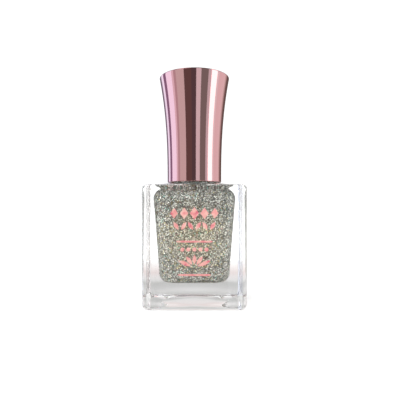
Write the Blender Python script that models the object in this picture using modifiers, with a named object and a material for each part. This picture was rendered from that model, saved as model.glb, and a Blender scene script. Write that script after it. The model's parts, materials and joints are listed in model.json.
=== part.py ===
"""Nail polish bottle: a square, thick-based glass bottle, a flared metallised cap and a brush on its stem.

Metres, +Z up. The origin is the centre of the base, on the surface that the bottle stands on, and the
decorated front faces -Y. The cap, with its brush, lifts along +Z and unscrews about +Z. The two mixing balls
roll along X.
"""

import math

import bmesh
import bpy

MM = 0.001
FIT = 0.04 * MM  # gap left between pieces that touch

# Glass body: a rounded square in plan
BODY_HALF = 15.5 * MM
BODY_CORNER = 1.8 * MM
BASE_EDGE = 1.2 * MM  # how far the rounded heel reaches in
BASE_HEEL = 2.0 * MM  # and how far it reaches up
SHOULDER_Z = 36.9 * MM
SHOULDER_EDGE = 1.3 * MM
SHOULDER_CORNER = 1.2 * MM
DOME_POWER = 1.4  # the shoulder climbs faster towards the neck
RECESS_RADIUS = 10.3 * MM
RECESS_DEPTH = 0.4 * MM

# Cavity: narrower towards the thick floor
FLOOR_Z = 7.2 * MM
FLOOR_EDGE = 2.8 * MM
FLOOR_HALF = 10.65 * MM
FLOOR_CORNER = 4.6 * MM
CEILING_Z = 36.0 * MM
CEILING_EDGE = 3.4 * MM
CEILING_HALF = 12.3 * MM
CEILING_CORNER = 4.0 * MM
CEILING_END_CORNER = 1.8 * MM
MOUTH_RADIUS = 5.0 * MM
MOUTH_Z = 37.0 * MM

# Neck
NECK_ROOT_Z = 37.95 * MM
NECK_TOP_Z = 48.9 * MM
NECK_RADIUS = 5.6 * MM
NECK_FILLET = 1.0 * MM
NECK_EDGE = 0.35 * MM
BORE_RADIUS = 4.0 * MM

# Screw thread, on the neck and inside the inner cap
THREAD_PITCH = 2.1 * MM
THREAD_TURNS = 1.5
THREAD_Z = 44.2 * MM
THREAD_CREST = 6.2 * MM
CAP_THREAD_CREST = 6.32 * MM
THREAD_ROOT_HEIGHT = 1.2 * MM
THREAD_CREST_HEIGHT = 0.5 * MM
THREAD_BURIED = 0.3 * MM
THREAD_STEPS_PER_TURN = 32
THREAD_LEAD_TURNS = 0.12

# Cap: heights inside it are measured from its bottom edge
CAP_Z = 38.1 * MM
CAP_HEIGHT = 34.2 * MM
CAP_BOTTOM_RADIUS = 8.82 * MM
CAP_TOP_RADIUS = 11.43 * MM
CAP_FLARE_POWER = 2.5
CAP_WALL = 1.1 * MM
CAP_RIM_EDGE = 0.25 * MM
CAP_LIP_EDGE = 0.25 * MM
DISC_RADIUS = 10.4 * MM
DISC_THICKNESS = 1.05 * MM
DISC_EDGE = 0.15 * MM
LEDGE_RADIUS = 9.5 * MM

INNER_CAP_BOTTOM = 0.15 * MM
INNER_CAP_TOP = 14.4 * MM
INNER_CAP_CEILING = 13.1 * MM
INNER_CAP_RADIUS = 7.35 * MM
INNER_CAP_BORE = 6.85 * MM
INNER_CAP_EDGE = 0.3 * MM
GRIP_RIBS = 24
GRIP_RIB_RADIUS = 7.66 * MM

# Brush, hung under the inner cap's ceiling
LINER_RADIUS = 6.3 * MM
LINER_BORE = 2.9 * MM
LINER_THICKNESS = 1.0 * MM
FLANGE_RADIUS = 6.3 * MM
FLANGE_THICKNESS = 1.2 * MM
STEM_TOP_RADIUS = 2.2 * MM
STEM_TIP_RADIUS = 1.75 * MM
STEM_TIP_Z = 27.0 * MM
SOCKET_RADIUS = 1.3 * MM
SOCKET_DEPTH = 4.0 * MM
ANCHOR_SIZE = (2.3 * MM, 0.35 * MM, 1.5 * MM)
TUFT_TIP_Z = 9.2 * MM
TUFT_HALF_WIDTH = 2.0 * MM
TUFT_HALF_THICKNESS = 1.35 * MM

# Polish and mixing balls
WELL_RADIUS = 2.7 * MM
WELL_BELOW_TIP = 0.6 * MM
BALL_RADIUS = 2.2 * MM
BALL_Y = 5.2 * MM
BALL_TRAVEL = 6.0 * MM
BALL_ROOM = 0.1 * MM

# Foil decoration and base label
FOIL_THICKNESS = 0.06 * MM
LABEL_RADIUS = 9.8 * MM
LABEL_THICKNESS = 0.1 * MM

CORNER_POINTS = 7  # points on each quarter of a square or round level
ROUND_STEPS = 48  # steps round a turned piece
BUBBLE = 0.0000001  # merge distance of turned pieces


# ---------------------------------------------------------------- scene and materials


def clear_scene():
    for old in list(bpy.data.objects):
        bpy.data.objects.remove(old)


def new_collection(name):
    group = bpy.data.collections.new(name)
    bpy.context.scene.collection.children.link(group)
    return group


def new_material(name, colour, roughness, metallic=0.0, transmission=0.0):
    made = bpy.data.materials.new(name)
    made.use_nodes = True
    shader = made.node_tree.nodes["Principled BSDF"]
    shader.inputs["Base Color"].default_value = (*colour, 1.0)
    shader.inputs["Roughness"].default_value = roughness
    shader.inputs["Metallic"].default_value = metallic
    shader.inputs["Transmission Weight"].default_value = transmission
    return made


def add_empty(name, location, rotation=(0.0, 0.0, 0.0)):
    empty = bpy.data.objects.new(name, None)
    empty.location = location
    empty.rotation_euler = rotation
    parts.objects.link(empty)
    return empty


def add_piece(name, data, material, parent=None, location=(0.0, 0.0, 0.0)):
    """An object of the assembly, placed relative to its parent."""
    piece = bpy.data.objects.new(name, data)
    piece.location = location
    piece.parent = parent
    data.materials.append(material)
    parts.objects.link(piece)
    return piece


def add_cutter(name, data, parent=None, location=(0.0, 0.0, 0.0)):
    cutter = bpy.data.objects.new(name, data)
    cutter.location = location
    cutter.parent = parent
    cutter.hide_render = True
    cutter.display_type = "WIRE"
    cutters.objects.link(cutter)
    return cutter


def combine(piece, other, operation):
    """Joins the other object to the piece (UNION) or cuts it away (DIFFERENCE)."""
    boolean = piece.modifiers.new(other.name, "BOOLEAN")
    boolean.object = other
    boolean.operation = operation
    boolean.solver = "EXACT"


# ---------------------------------------------------------------- outlines and levels


def arc(centre, radius, start, end, steps):
    """Points on an arc in a profile's (radius, height) plane, angles in degrees from the radial direction."""
    points = []
    for step in range(steps + 1):
        angle = math.radians(start + (end - start) * step / steps)
        points.append((centre[0] + radius * math.cos(angle), centre[1] + radius * math.sin(angle)))
    return points


def square_level(half, corner, z):
    """A rounded square: an arc of CORNER_POINTS points at each corner."""
    level = []
    for quarter in range(4):
        middle = math.radians(90 * quarter + 45)
        centre_x = math.copysign(half - corner, math.cos(middle))
        centre_y = math.copysign(half - corner, math.sin(middle))
        for step in range(CORNER_POINTS):
            angle = math.radians(90 * (quarter + step / (CORNER_POINTS - 1)))
            level.append((centre_x + corner * math.cos(angle), centre_y + corner * math.sin(angle), z))
    return level


def round_level(radius, z, count=4 * CORNER_POINTS, flatten=1.0):
    """A circle, or an oval that is thinner along Y when flatten is under 1."""
    level = []
    for step in range(count):
        angle = 2 * math.pi * (step + 0.5) / count
        level.append((radius * math.cos(angle), flatten * radius * math.sin(angle), z))
    return level


def between(first, second, share, z):
    """A level part of the way from one outline to another."""
    return [
        (a[0] + (b[0] - a[0]) * share, a[1] + (b[1] - a[1]) * share, z)
        for a, b in zip(first, second)
    ]


def rounded_edge(half, corner, end_corner, edge, z, end_z, steps=4):
    """Levels of a square that closes in by edge while it goes from z to end_z, as a quarter ellipse does."""
    levels = []
    for step in range(steps + 1):
        angle = math.pi / 2 * step / steps
        inward = 1 - math.cos(angle)
        levels.append(
            square_level(
                half - edge * inward,
                corner + (end_corner - corner) * inward,
                z + (end_z - z) * math.sin(angle),
            )
        )
    return levels


def dome(square, ring, low_z, high_z, steps=4):
    """Levels that rise from a square outline to a round one, faster towards the round one."""
    return [
        between(square, ring, step / steps, low_z + (high_z - low_z) * (step / steps) ** DOME_POWER)
        for step in range(1, steps + 1)
    ]


# ---------------------------------------------------------------- mesh builders


def loft(name, levels, smooth=True):
    """A closed skin through levels with equal numbers of points, capped at its first and last level."""
    mesh = bpy.data.meshes.new(name)
    skin = bmesh.new()
    rings = [[skin.verts.new(point) for point in level] for level in levels]
    for lower, upper in zip(rings, rings[1:]):
        for here in range(len(lower)):
            after = (here + 1) % len(lower)
            skin.faces.new((lower[here], lower[after], upper[after], upper[here]))
    skin.faces.new(rings[0])
    skin.faces.new(rings[-1])
    bmesh.ops.recalc_face_normals(skin, faces=skin.faces)
    skin.to_mesh(mesh)
    skin.free()
    if smooth:
        mesh.shade_smooth()
        mesh.set_sharp_from_angle(angle=math.radians(35))
    return mesh


def turned(name, profile, material, closed, parent=None, location=(0.0, 0.0, 0.0)):
    """A turned piece. Its profile of (radius, height) points runs down the outer side first."""
    mesh = bpy.data.meshes.new(name)
    edges = [(here, here + 1) for here in range(len(profile) - 1)]
    if closed:
        edges.append((len(profile) - 1, 0))
    mesh.from_pydata([(radius, 0.0, height) for radius, height in profile], edges, [])
    piece = add_piece(name, mesh, material, parent, location)
    screw = piece.modifiers.new("turn", "SCREW")
    screw.axis = "Z"
    screw.steps = ROUND_STEPS
    screw.render_steps = ROUND_STEPS
    screw.use_merge_vertices = True
    screw.merge_threshold = BUBBLE
    screw.use_smooth_shade = True
    return piece


def thread_ridge(name, root, crest):
    """A helical ridge from root to crest radius, buried a little past the root, that fades at both ends."""
    steps = round(THREAD_TURNS * THREAD_STEPS_PER_TURN)
    outward = math.copysign(1.0, crest - root)
    levels = []
    for step in range(steps + 1):
        turns = step / THREAD_STEPS_PER_TURN
        from_end = min(turns, THREAD_TURNS - turns)
        fade = min(1.0, from_end / THREAD_LEAD_TURNS)
        low = root - outward * THREAD_BURIED
        high = root + (crest - root) * fade - outward * THREAD_BURIED / 2 * (1 - fade)
        angle = 2 * math.pi * turns
        middle = THREAD_PITCH * turns
        corners = (
            (low, -THREAD_ROOT_HEIGHT / 2),
            (high, -THREAD_CREST_HEIGHT / 2),
            (high, THREAD_CREST_HEIGHT / 2),
            (low, THREAD_ROOT_HEIGHT / 2),
        )
        levels.append([(r * math.cos(angle), r * math.sin(angle), middle + z) for r, z in corners])
    return loft(name, levels, smooth=False)


def plate(name, outline, thickness, material, parent, location=(0.0, 0.0, 0.0)):
    """A flat piece with the given outline, centred on its own plane."""
    curve = bpy.data.curves.new(name, "CURVE")
    curve.dimensions = "2D"
    curve.fill_mode = "BOTH"
    curve.extrude = thickness / 2
    spline = curve.splines.new("POLY")
    spline.points.add(len(outline) - 1)
    for point, (x, y) in zip(spline.points, outline):
        point.co = (x, y, 0.0, 1.0)
    spline.use_cyclic_u = True
    return add_piece(name, curve, material, parent, location)


# ---------------------------------------------------------------- bottle


def cavity_levels(gap):
    """Levels of the cavity from its mouth under the neck down to its floor, drawn in by gap."""
    ceiling = rounded_edge(
        CEILING_HALF - gap,
        CEILING_CORNER - gap,
        CEILING_END_CORNER,
        CEILING_EDGE,
        CEILING_Z - CEILING_EDGE - gap,
        CEILING_Z - gap,
    )
    mouth = round_level(MOUTH_RADIUS - gap, MOUTH_Z - gap)
    floor = rounded_edge(
        FLOOR_HALF - gap,
        FLOOR_CORNER - gap,
        CEILING_END_CORNER,
        FLOOR_EDGE,
        FLOOR_Z + FLOOR_EDGE + gap,
        FLOOR_Z + gap,
    )
    above = dome(ceiling[-1], mouth, CEILING_Z - gap, MOUTH_Z - gap)
    return above[::-1] + ceiling[::-1] + floor


def outside_levels():
    """Levels of the bottle's outside, from the middle of the base up to the neck's root."""
    base = rounded_edge(BODY_HALF, BODY_CORNER, SHOULDER_CORNER, BASE_EDGE, BASE_HEEL, 0.0)
    shoulder = rounded_edge(
        BODY_HALF, BODY_CORNER, SHOULDER_CORNER, SHOULDER_EDGE, SHOULDER_Z - SHOULDER_EDGE, SHOULDER_Z
    )
    neck_root = round_level(NECK_RADIUS + NECK_FILLET, NECK_ROOT_Z)
    levels = [round_level(RECESS_RADIUS, RECESS_DEPTH), round_level(RECESS_RADIUS, 0.0)]
    levels += base[::-1] + shoulder
    levels += dome(shoulder[-1], neck_root, SHOULDER_Z, NECK_ROOT_Z)
    return levels


def neck_levels():
    """Levels of the neck: up its outside, over its rim and down its bore."""
    fillet = arc((NECK_RADIUS + NECK_FILLET, NECK_ROOT_Z + NECK_FILLET), NECK_FILLET, 270, 180, 3)[1:]
    outer_rim = arc((NECK_RADIUS - NECK_EDGE, NECK_TOP_Z - NECK_EDGE), NECK_EDGE, 0, 90, 3)
    inner_rim = arc((BORE_RADIUS + NECK_EDGE, NECK_TOP_Z - NECK_EDGE), NECK_EDGE, 90, 180, 3)
    bore_end = arc((BORE_RADIUS + NECK_FILLET, MOUTH_Z + NECK_FILLET), NECK_FILLET, 180, 270, 3)[:-1]
    return [round_level(radius, z) for radius, z in fillet + outer_rim + inner_rim + bore_end]


def build_glass(glass):
    levels = outside_levels() + neck_levels() + cavity_levels(0.0)
    bottle = add_piece("glass_bottle", loft("glass_bottle", levels), glass)
    ridge = add_cutter(
        "neck_thread", thread_ridge("neck_thread", NECK_RADIUS, THREAD_CREST), location=(0.0, 0.0, THREAD_Z)
    )
    combine(bottle, ridge, "UNION")


def ball_channel(name, y):
    """The straight-sided room that a ball rolls in, open below the polish."""
    radius = BALL_RADIUS + BALL_ROOM
    outline = []
    for side in (0, 180):
        for x, z in arc((0.0, 0.0), radius, side - 90, side + 90, 8):
            outline.append((x + math.copysign(BALL_TRAVEL, 90 - side), z))
    height = 2 * BALL_RADIUS + BALL_ROOM
    levels = [[(x, z, level) for x, z in outline] for level in (-BALL_RADIUS, height)]
    return add_cutter(name, loft(name, levels, smooth=False), location=(0.0, y, FLOOR_Z))


def build_polish(lacquer, steel):
    """The liquid, with a well that the brush hangs in, and a ball on each side of it."""
    well_floor = TUFT_TIP_Z - WELL_BELOW_TIP
    levels = cavity_levels(FIT)[::-1]
    surface = MOUTH_Z - FIT
    levels += [round_level(WELL_RADIUS, surface), round_level(WELL_RADIUS, well_floor)]
    polish = add_piece("polish", loft("polish", levels), lacquer)
    for name, y in (("front", -BALL_Y), ("rear", BALL_Y)):
        combine(polish, ball_channel("ball_channel_" + name, y), "DIFFERENCE")
        ball = bpy.data.meshes.new("mixing_ball_" + name)
        sphere = bmesh.new()
        bmesh.ops.create_uvsphere(sphere, u_segments=24, v_segments=12, radius=BALL_RADIUS)
        sphere.to_mesh(ball)
        sphere.free()
        ball.shade_smooth()
        add_piece(ball.name, ball, steel, location=(0.0, y, FLOOR_Z + BALL_RADIUS + FIT))


def build_label(paper):
    """A plain round sticker in the recess under the base."""
    top = RECESS_DEPTH - FIT
    low = top - LABEL_THICKNESS
    profile = [(0.0, top), (LABEL_RADIUS, top), (LABEL_RADIUS, low), (0.0, low)]
    turned("base_label", profile, paper, closed=False)


# ---------------------------------------------------------------- foil decoration


def lozenge(half_width, half_height):
    return [(half_width, 0.0), (0.0, half_height), (-half_width, 0.0), (0.0, -half_height)]


def spindle(half_length, half_height):
    """A fine rule that comes to a point at each end."""
    taper = 2 * half_height
    return [
        (half_length, 0.0),
        (half_length - taper, half_height),
        (taper - half_length, half_height),
        (-half_length, 0.0),
        (taper - half_length, -half_height),
        (half_length - taper, -half_height),
    ]


def petal(length, width, tilt, start=(0.0, 0.0), steps=10):
    """A leaf shape that grows from its start point, tilted clockwise from upright by tilt degrees."""
    right = [(width / 2 * math.sin(math.pi * s / steps), length * s / steps) for s in range(steps + 1)]
    left = [(-x, y) for x, y in right[-2:0:-1]]
    turn = math.radians(-tilt)
    cos = math.cos(turn)
    sin = math.sin(turn)
    return [(start[0] + x * cos - y * sin, start[1] + x * sin + y * cos) for x, y in right + left]


def dot(radius, steps=20):
    return arc((0.0, 0.0), radius, 0, 360 * (steps - 1) / steps, steps - 1)


def build_foil(foil):
    """Five rows of foil ornament, stamped on the front face between the shoulder and the base."""
    depth = FIT + FOIL_THICKNESS / 2
    face = add_empty("front_face", (0.0, -BODY_HALF, 0.0), (math.pi / 2, 0.0, 0.0))

    def stamp(name, outline, x, z):
        plate(name, outline, FOIL_THICKNESS, foil, face, (x * MM, z * MM, depth))

    for number in range(5):
        size = (1.0 - 0.08 * abs(number - 2)) * MM
        outline = lozenge(1.35 * size, 1.85 * size)
        stamp(f"foil_lozenge_{number + 1}", outline, 2.95 * (number - 2), 28.4)
    for number in range(6):
        tilt = 32 if number % 2 else -32
        outline = petal(2.7 * MM, 1.15 * MM, tilt)
        stamp(f"foil_leaf_{number + 1}", outline, 2.1 * (number - 2.5) - tilt / 50, 23.6)
    stamp("foil_rule_upper", spindle(5.4 * MM, 0.28 * MM), 0.0, 20.2)
    for number in range(5):
        stamp(f"foil_dot_{number + 1}", dot(0.6 * MM), 1.75 * (number - 2), 17.9)
    for number, (tilt, length) in enumerate(((-66, 4.2), (-36, 3.1), (0, 2.8), (36, 3.1), (66, 4.2))):
        side = math.radians(tilt)
        start = (1.0 * MM * math.sin(side), 1.0 * MM * math.cos(side))
        stamp(f"foil_fan_{number + 1}", petal(length * MM, 1.12 * MM, tilt, start), 0.0, 12.6)
    stamp("foil_rule_lower", spindle(4.9 * MM, 0.28 * MM), 0.0, 10.5)


# ---------------------------------------------------------------- cap


def cap_radius(height):
    """The cap's outer radius at a height above its bottom edge: nearly straight, then flared."""
    return CAP_BOTTOM_RADIUS + (CAP_TOP_RADIUS - CAP_BOTTOM_RADIUS) * (height / CAP_HEIGHT) ** CAP_FLARE_POWER


def build_cap_shell(metal, axis):
    """The flared tube: rounded rim, a ledge for the top disc, and a straight bore round the inner cap."""
    rim = DISC_RADIUS + FIT
    ledge = CAP_HEIGHT - DISC_THICKNESS - FIT
    bore = CAP_BOTTOM_RADIUS - CAP_WALL
    side_top = CAP_HEIGHT - CAP_RIM_EDGE
    profile = [(rim, CAP_HEIGHT)]
    profile += arc((cap_radius(side_top) - CAP_RIM_EDGE, side_top), CAP_RIM_EDGE, 90, 0, 4)
    sides = 14
    profile += [
        (cap_radius(height), height)
        for height in (side_top + (CAP_LIP_EDGE - side_top) * step / sides for step in range(1, sides))
    ]
    profile += arc((CAP_BOTTOM_RADIUS - CAP_LIP_EDGE, CAP_LIP_EDGE), CAP_LIP_EDGE, 0, -90, 2)
    profile += [(bore, 0.0), (bore, INNER_CAP_TOP)]
    inner_steps = 6
    for step in range(1, inner_steps + 1):
        height = INNER_CAP_TOP + (ledge - INNER_CAP_TOP) * step / inner_steps
        profile.append((min(cap_radius(height) - CAP_WALL, LEDGE_RADIUS), height))
    profile.append((rim, ledge))
    turned("cap_shell", profile, metal, closed=True, parent=axis)


def build_cap_disc(metal, axis):
    profile = [(0.0, DISC_THICKNESS)]
    profile += arc((DISC_RADIUS - DISC_EDGE, DISC_THICKNESS - DISC_EDGE), DISC_EDGE, 90, 0, 2)
    profile += [(DISC_RADIUS, 0.0), (0.0, 0.0)]
    place = (0.0, 0.0, CAP_HEIGHT - DISC_THICKNESS)
    turned("cap_top_disc", profile, metal, closed=False, parent=axis, location=place)


def ribbed_level(radius, crest, z):
    """A round level with GRIP_RIBS ribs: two points on each rib's crest and one in the valley after it."""
    level = round_level(1.0, z, 3 * GRIP_RIBS)
    return [
        (x * (radius if step % 3 == 2 else crest), y * (radius if step % 3 == 2 else crest), z)
        for step, (x, y, _) in enumerate(level)
    ]


def build_inner_cap(plastic, axis):
    """The threaded closure: plain inside, ribbed outside, so that the shell grips it."""
    count = 3 * GRIP_RIBS
    levels = [
        round_level(INNER_CAP_BORE, INNER_CAP_CEILING, count),
        round_level(INNER_CAP_BORE, INNER_CAP_BOTTOM + INNER_CAP_EDGE / 2, count),
        round_level(INNER_CAP_BORE + INNER_CAP_EDGE / 2, INNER_CAP_BOTTOM, count),
        round_level(INNER_CAP_RADIUS - INNER_CAP_EDGE / 2, INNER_CAP_BOTTOM, count),
        round_level(INNER_CAP_RADIUS, INNER_CAP_BOTTOM + INNER_CAP_EDGE, count),
        ribbed_level(INNER_CAP_RADIUS, GRIP_RIB_RADIUS, INNER_CAP_BOTTOM + 2 * INNER_CAP_EDGE),
        ribbed_level(INNER_CAP_RADIUS, GRIP_RIB_RADIUS, INNER_CAP_TOP - INNER_CAP_EDGE),
        round_level(INNER_CAP_RADIUS - INNER_CAP_EDGE, INNER_CAP_TOP, count),
    ]
    inner_cap = add_piece("inner_cap", loft("inner_cap", levels), plastic, axis)
    ridge = add_cutter(
        "cap_thread",
        thread_ridge("cap_thread", INNER_CAP_BORE, CAP_THREAD_CREST),
        axis,
        (0.0, 0.0, THREAD_Z - CAP_Z - THREAD_PITCH / 2),
    )
    combine(inner_cap, ridge, "UNION")


# ---------------------------------------------------------------- brush


def build_liner(foam, axis):
    """The washer that seals the neck's rim, loose round the stem."""
    top = LINER_THICKNESS
    profile = [(LINER_BORE, top), (LINER_RADIUS, top), (LINER_RADIUS, 0.0), (LINER_BORE, 0.0)]
    place = (0.0, 0.0, NECK_TOP_Z + FIT - CAP_Z)
    turned("seal_liner", profile, foam, closed=True, parent=axis, location=place)


def build_stem(plastic, axis):
    """The stem, with the flange that hangs it and the socket that holds the bristles."""
    underside = INNER_CAP_CEILING - FIT - FLANGE_THICKNESS
    tip = STEM_TIP_Z - CAP_Z
    profile = [
        (0.0, underside + FLANGE_THICKNESS),
        (FLANGE_RADIUS, underside + FLANGE_THICKNESS),
        (FLANGE_RADIUS, underside),
    ]
    profile += arc((STEM_TOP_RADIUS + 0.4 * MM, underside - 0.4 * MM), 0.4 * MM, 90, 180, 3)
    profile += arc((STEM_TIP_RADIUS - 0.2 * MM, tip + 0.2 * MM), 0.2 * MM, 0, -90, 2)
    profile += [(SOCKET_RADIUS, tip), (SOCKET_RADIUS, tip + SOCKET_DEPTH), (0.0, tip + SOCKET_DEPTH)]
    turned("brush_stem", profile, plastic, closed=False, parent=axis)


def build_tuft(nylon, brass, axis):
    """The bristles as one plain solid, folded over a flat metal anchor in the stem's socket."""
    root = STEM_TIP_Z - CAP_Z + SOCKET_DEPTH - FIT - 0.2 * MM
    tip = TUFT_TIP_Z - CAP_Z
    mouth = STEM_TIP_Z - CAP_Z - FIT
    root_radius = SOCKET_RADIUS - FIT
    flat = TUFT_HALF_THICKNESS / TUFT_HALF_WIDTH
    count = 24
    levels = [
        round_level(0.7 * root_radius, root, count),
        round_level(root_radius, root - 0.4 * MM, count),
        round_level(root_radius, mouth, count),
        round_level(0.85 * TUFT_HALF_WIDTH, mouth + 0.3 * (tip - mouth), count, 0.5 + 0.5 * flat),
        round_level(TUFT_HALF_WIDTH, mouth + 0.7 * (tip - mouth), count, flat),
        round_level(0.85 * TUFT_HALF_WIDTH, mouth + 0.9 * (tip - mouth), count, flat),
        round_level(0.55 * TUFT_HALF_WIDTH, mouth + 0.98 * (tip - mouth), count, flat),
        round_level(0.2 * TUFT_HALF_WIDTH, tip, count, flat),
    ]
    tuft = add_piece("bristle_tuft", loft("bristle_tuft", levels), nylon, axis)
    width, thickness, height = ANCHOR_SIZE
    anchor_z = root - height / 2
    opening = block("anchor_slot", 2 * SOCKET_RADIUS, thickness + 2 * FIT, height)
    slot = add_cutter("anchor_slot", opening, axis)
    slot.location.z = anchor_z + FIT
    combine(tuft, slot, "DIFFERENCE")
    anchor = add_piece("brush_anchor", block("brush_anchor", width, thickness, height), brass, axis)
    anchor.location.z = anchor_z + 2 * FIT
    bevel = anchor.modifiers.new("edges", "BEVEL")
    bevel.width = 0.08 * MM
    bevel.segments = 1


def block(name, width, depth, height):
    mesh = bpy.data.meshes.new(name)
    cube = bmesh.new()
    bmesh.ops.create_cube(cube, size=1.0)
    bmesh.ops.scale(cube, vec=(width, depth, height), verts=cube.verts)
    cube.to_mesh(mesh)
    cube.free()
    return mesh


# ---------------------------------------------------------------- assembly


def build():
    cap_axis = add_empty("cap_axis", (0.0, 0.0, CAP_Z))
    glass = new_material("clear_glass", (0.95, 0.97, 0.96), 0.03, transmission=1.0)
    lacquer = new_material("glitter_polish", (0.31, 0.31, 0.26), 0.35, 0.5)
    steel = new_material("ball_steel", (0.62, 0.62, 0.63), 0.2, 1.0)
    paper = new_material("label_paper", (0.72, 0.55, 0.54), 0.6)
    foil = new_material("pink_foil", (0.86, 0.36, 0.36), 0.3, 0.6)
    metal = new_material("rose_metal", (0.80, 0.52, 0.52), 0.15, 1.0)
    plastic = new_material("cap_plastic", (0.82, 0.82, 0.80), 0.4)
    foam = new_material("liner_foam", (0.75, 0.76, 0.77), 0.7)
    nylon = new_material("bristle_nylon", (0.10, 0.10, 0.10), 0.5)
    brass = new_material("anchor_brass", (0.74, 0.58, 0.28), 0.3, 1.0)
    build_glass(glass)
    build_polish(lacquer, steel)
    build_label(paper)
    build_foil(foil)
    build_cap_shell(metal, cap_axis)
    build_cap_disc(metal, cap_axis)
    build_inner_cap(plastic, cap_axis)
    build_liner(foam, cap_axis)
    build_stem(plastic, cap_axis)
    build_tuft(nylon, brass, cap_axis)


clear_scene()
parts = new_collection("nail_polish_bottle")
cutters = new_collection("cutters")
build()
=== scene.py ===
import json
import math
import random

import bmesh
import bpy
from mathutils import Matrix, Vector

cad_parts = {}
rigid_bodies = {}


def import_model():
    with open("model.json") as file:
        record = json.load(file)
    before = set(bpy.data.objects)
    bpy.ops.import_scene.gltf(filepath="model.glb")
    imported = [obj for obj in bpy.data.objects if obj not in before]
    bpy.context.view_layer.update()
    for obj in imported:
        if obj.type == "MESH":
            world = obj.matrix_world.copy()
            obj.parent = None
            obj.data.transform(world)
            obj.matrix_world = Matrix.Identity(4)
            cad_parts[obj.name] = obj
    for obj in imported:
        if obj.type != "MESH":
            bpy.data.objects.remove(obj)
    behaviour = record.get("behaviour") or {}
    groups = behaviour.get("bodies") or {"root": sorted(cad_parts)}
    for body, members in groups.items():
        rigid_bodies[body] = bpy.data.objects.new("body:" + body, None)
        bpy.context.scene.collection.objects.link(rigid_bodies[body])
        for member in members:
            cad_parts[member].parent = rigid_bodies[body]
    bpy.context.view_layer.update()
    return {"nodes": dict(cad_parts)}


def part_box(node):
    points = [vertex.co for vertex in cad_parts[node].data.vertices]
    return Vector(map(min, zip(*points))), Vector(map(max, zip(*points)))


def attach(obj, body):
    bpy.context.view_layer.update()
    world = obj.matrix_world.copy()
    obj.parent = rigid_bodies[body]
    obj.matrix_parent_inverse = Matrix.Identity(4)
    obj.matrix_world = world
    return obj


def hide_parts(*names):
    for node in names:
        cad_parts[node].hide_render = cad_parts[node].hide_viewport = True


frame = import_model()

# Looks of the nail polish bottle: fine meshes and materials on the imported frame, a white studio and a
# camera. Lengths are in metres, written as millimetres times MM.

MM = 0.001
TAU = 2 * math.pi
HIDE_IN_WALL = 0.02 * MM  # how far the polish reaches into the glass, so that no air shows between them

GLASS_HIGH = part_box("glass_bottle")[1]
SHELL_LOW, SHELL_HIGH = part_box("cap_shell")
DISC_LOW, DISC_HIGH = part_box("cap_top_disc")
INNER_LOW, INNER_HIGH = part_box("inner_cap")
LINER_LOW, LINER_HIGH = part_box("seal_liner")
STEM_LOW, STEM_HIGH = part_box("brush_stem")
TUFT_LOW, TUFT_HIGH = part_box("bristle_tuft")
LABEL_LOW, LABEL_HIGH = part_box("base_label")

# Glass, as in the CAD
BODY_HALF = GLASS_HIGH[0]
NECK_TOP_Z = GLASS_HIGH[2]
BODY_CORNER = 1.8 * MM
BASE_EDGE = 1.2 * MM
BASE_HEEL = 2.0 * MM
SHOULDER_Z = 36.9 * MM
SHOULDER_EDGE = 1.3 * MM
SHOULDER_CORNER = 1.2 * MM
RECESS_RADIUS = 10.3 * MM
RECESS_DEPTH = 0.4 * MM
RECESS_EDGE = 0.2 * MM
FLOOR_Z = 7.2 * MM
FLOOR_EDGE = 2.8 * MM
FLOOR_HALF = 10.65 * MM
FLOOR_CORNER = 4.6 * MM
CEILING_Z = 36.0 * MM
CEILING_EDGE = 3.4 * MM
CEILING_HALF = 12.3 * MM
CEILING_CORNER = 4.0 * MM
CEILING_END_CORNER = 1.8 * MM
MOUTH_RADIUS = 5.0 * MM
MOUTH_Z = 37.0 * MM
NECK_ROOT_Z = 37.95 * MM
DOME_POWER = 1.4
NECK_RADIUS = 5.6 * MM
NECK_FILLET = 1.0 * MM
NECK_EDGE = 0.35 * MM
BORE_RADIUS = 4.0 * MM
THREAD_PITCH = 2.1 * MM
THREAD_TURNS = 1.5
THREAD_Z = 44.2 * MM
THREAD_CREST = 6.2 * MM
CAP_THREAD_CREST = 6.32 * MM

# Cap, as in the CAD
CAP_Z = SHELL_LOW[2]
CAP_HEIGHT = SHELL_HIGH[2] - SHELL_LOW[2]
CAP_BOTTOM_RADIUS = 8.82 * MM
CAP_TOP_RADIUS = 11.43 * MM
CAP_FLARE_POWER = 2.5
CAP_WALL = 1.1 * MM
CAP_RIM_EDGE = 0.25 * MM
CAP_LIP_EDGE = 0.25 * MM
DISC_RADIUS = DISC_HIGH[0]
DISC_THICKNESS = DISC_HIGH[2] - DISC_LOW[2]
LEDGE_RADIUS = 9.5 * MM
FIT = 0.04 * MM
INNER_CAP_RADIUS = 7.35 * MM
INNER_CAP_BORE = 6.85 * MM
INNER_CAP_CEILING = 51.2 * MM
GRIP_RIBS = 24
RIB_POINTS = 8
STEM_TOP_RADIUS = 2.2 * MM
STEM_TIP_RADIUS = 1.75 * MM
SOCKET_RADIUS = 1.3 * MM
SOCKET_DEPTH = 4.0 * MM
FLANGE_THICKNESS = 1.2 * MM

# How finely shapes are divided
CORNER_POINTS = 17
SIDE_POINTS = 13
ROUND_STEPS = 144
EDGE_STEPS = 10
DOME_STEPS = 12
WALL_STEPS = 6
THREAD_STEPS = 96  # in one turn
SHARP_ANGLE = 40  # degrees; a fold sharper than this shows as an edge


# ---------------------------------------------------------------- outlines


def arc(centre, radius, start, end, steps):
    """Points on an arc in a (radius, height) plane, angles in degrees."""
    points = []
    for step in range(steps + 1):
        angle = math.radians(start + (end - start) * step / steps)
        points.append((centre[0] + radius * math.cos(angle), centre[1] + radius * math.sin(angle)))
    return points


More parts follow.
